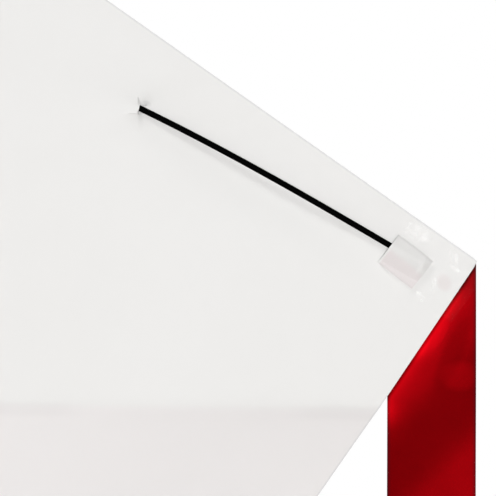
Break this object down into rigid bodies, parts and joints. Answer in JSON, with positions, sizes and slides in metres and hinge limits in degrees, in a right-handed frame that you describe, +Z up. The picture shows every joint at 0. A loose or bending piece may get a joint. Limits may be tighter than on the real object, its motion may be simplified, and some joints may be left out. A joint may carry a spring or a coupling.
{
  "type": "diamond kite",
  "caption": "Diamond kite with a white film sail, a bowed cross spar threaded through slits into corner pockets, a spine, and red ribbon tails.",
  "frame": {"origin": "middle of the cross joiner's flat back, behind the crossing of the bow and the spine", "axes": "+Z up along the spine to the nose, +X to the side shown at the right of the picture, +Y out of the kite's back; the sail faces -Y"},
  "size_m": [0.608, 0.0234, 1.0824],
  "materials": {
    "sail_film": "smooth white plastic film with faint creases",
    "pocket_film": "doubled white plastic film, welded at its edges",
    "black_rod": "black glass-fibre rod, smooth",
    "clear_tape": "clear crinkled adhesive tape",
    "red_ribbon": "glossy deep red plastic ribbon",
    "joiner_plastic": "moulded off-white plastic"
  },
  "bodies": {
    "kite": {"sail": "sail_film", "bow_spar": "black_rod", "spine_spar": "black_rod", "cross_joiner": "joiner_plastic", "right_pocket": "pocket_film", "left_pocket": "pocket_film", "nose_pocket": "pocket_film", "bottom_pocket": "pocket_film", "right_corner_tape": "clear_tape", "left_corner_tape": "clear_tape", "nose_tape": "clear_tape", "bottom_tape": "clear_tape", "spine_tape_upper": "clear_tape", "spine_tape_middle": "clear_tape", "spine_tape_lower": "clear_tape", "bottom_tail_tape": "clear_tape", "bridle_patch_upper": "clear_tape", "bridle_patch_lower": "clear_tape", "right_tail_end": "red_ribbon", "left_tail_end": "red_ribbon", "bottom_tail_end": "red_ribbon"},
    "right_tail": {"right_tail": "red_ribbon"},
    "left_tail": {"left_tail": "red_ribbon"},
    "bottom_tail": {"bottom_tail": "red_ribbon"}
  },
  "joints": [
    {"name": "right_tail_swing", "type": "hinge", "parent": "kite", "child": "right_tail", "pos_m": [0.2845, -0.00045, -0.12125], "axis": [1, 0, 0], "range_deg": [0, 100]},
    {"name": "left_tail_swing", "type": "hinge", "parent": "kite", "child": "left_tail", "pos_m": [-0.2845, -0.00045, -0.12125], "axis": [1, 0, 0], "range_deg": [0, 100]},
    {"name": "bottom_tail_swing", "type": "hinge", "parent": "kite", "child": "bottom_tail", "pos_m": [0, -0.00215, -0.54866], "axis": [1, 0, 0], "range_deg": [-90, 90]}
  ]
}
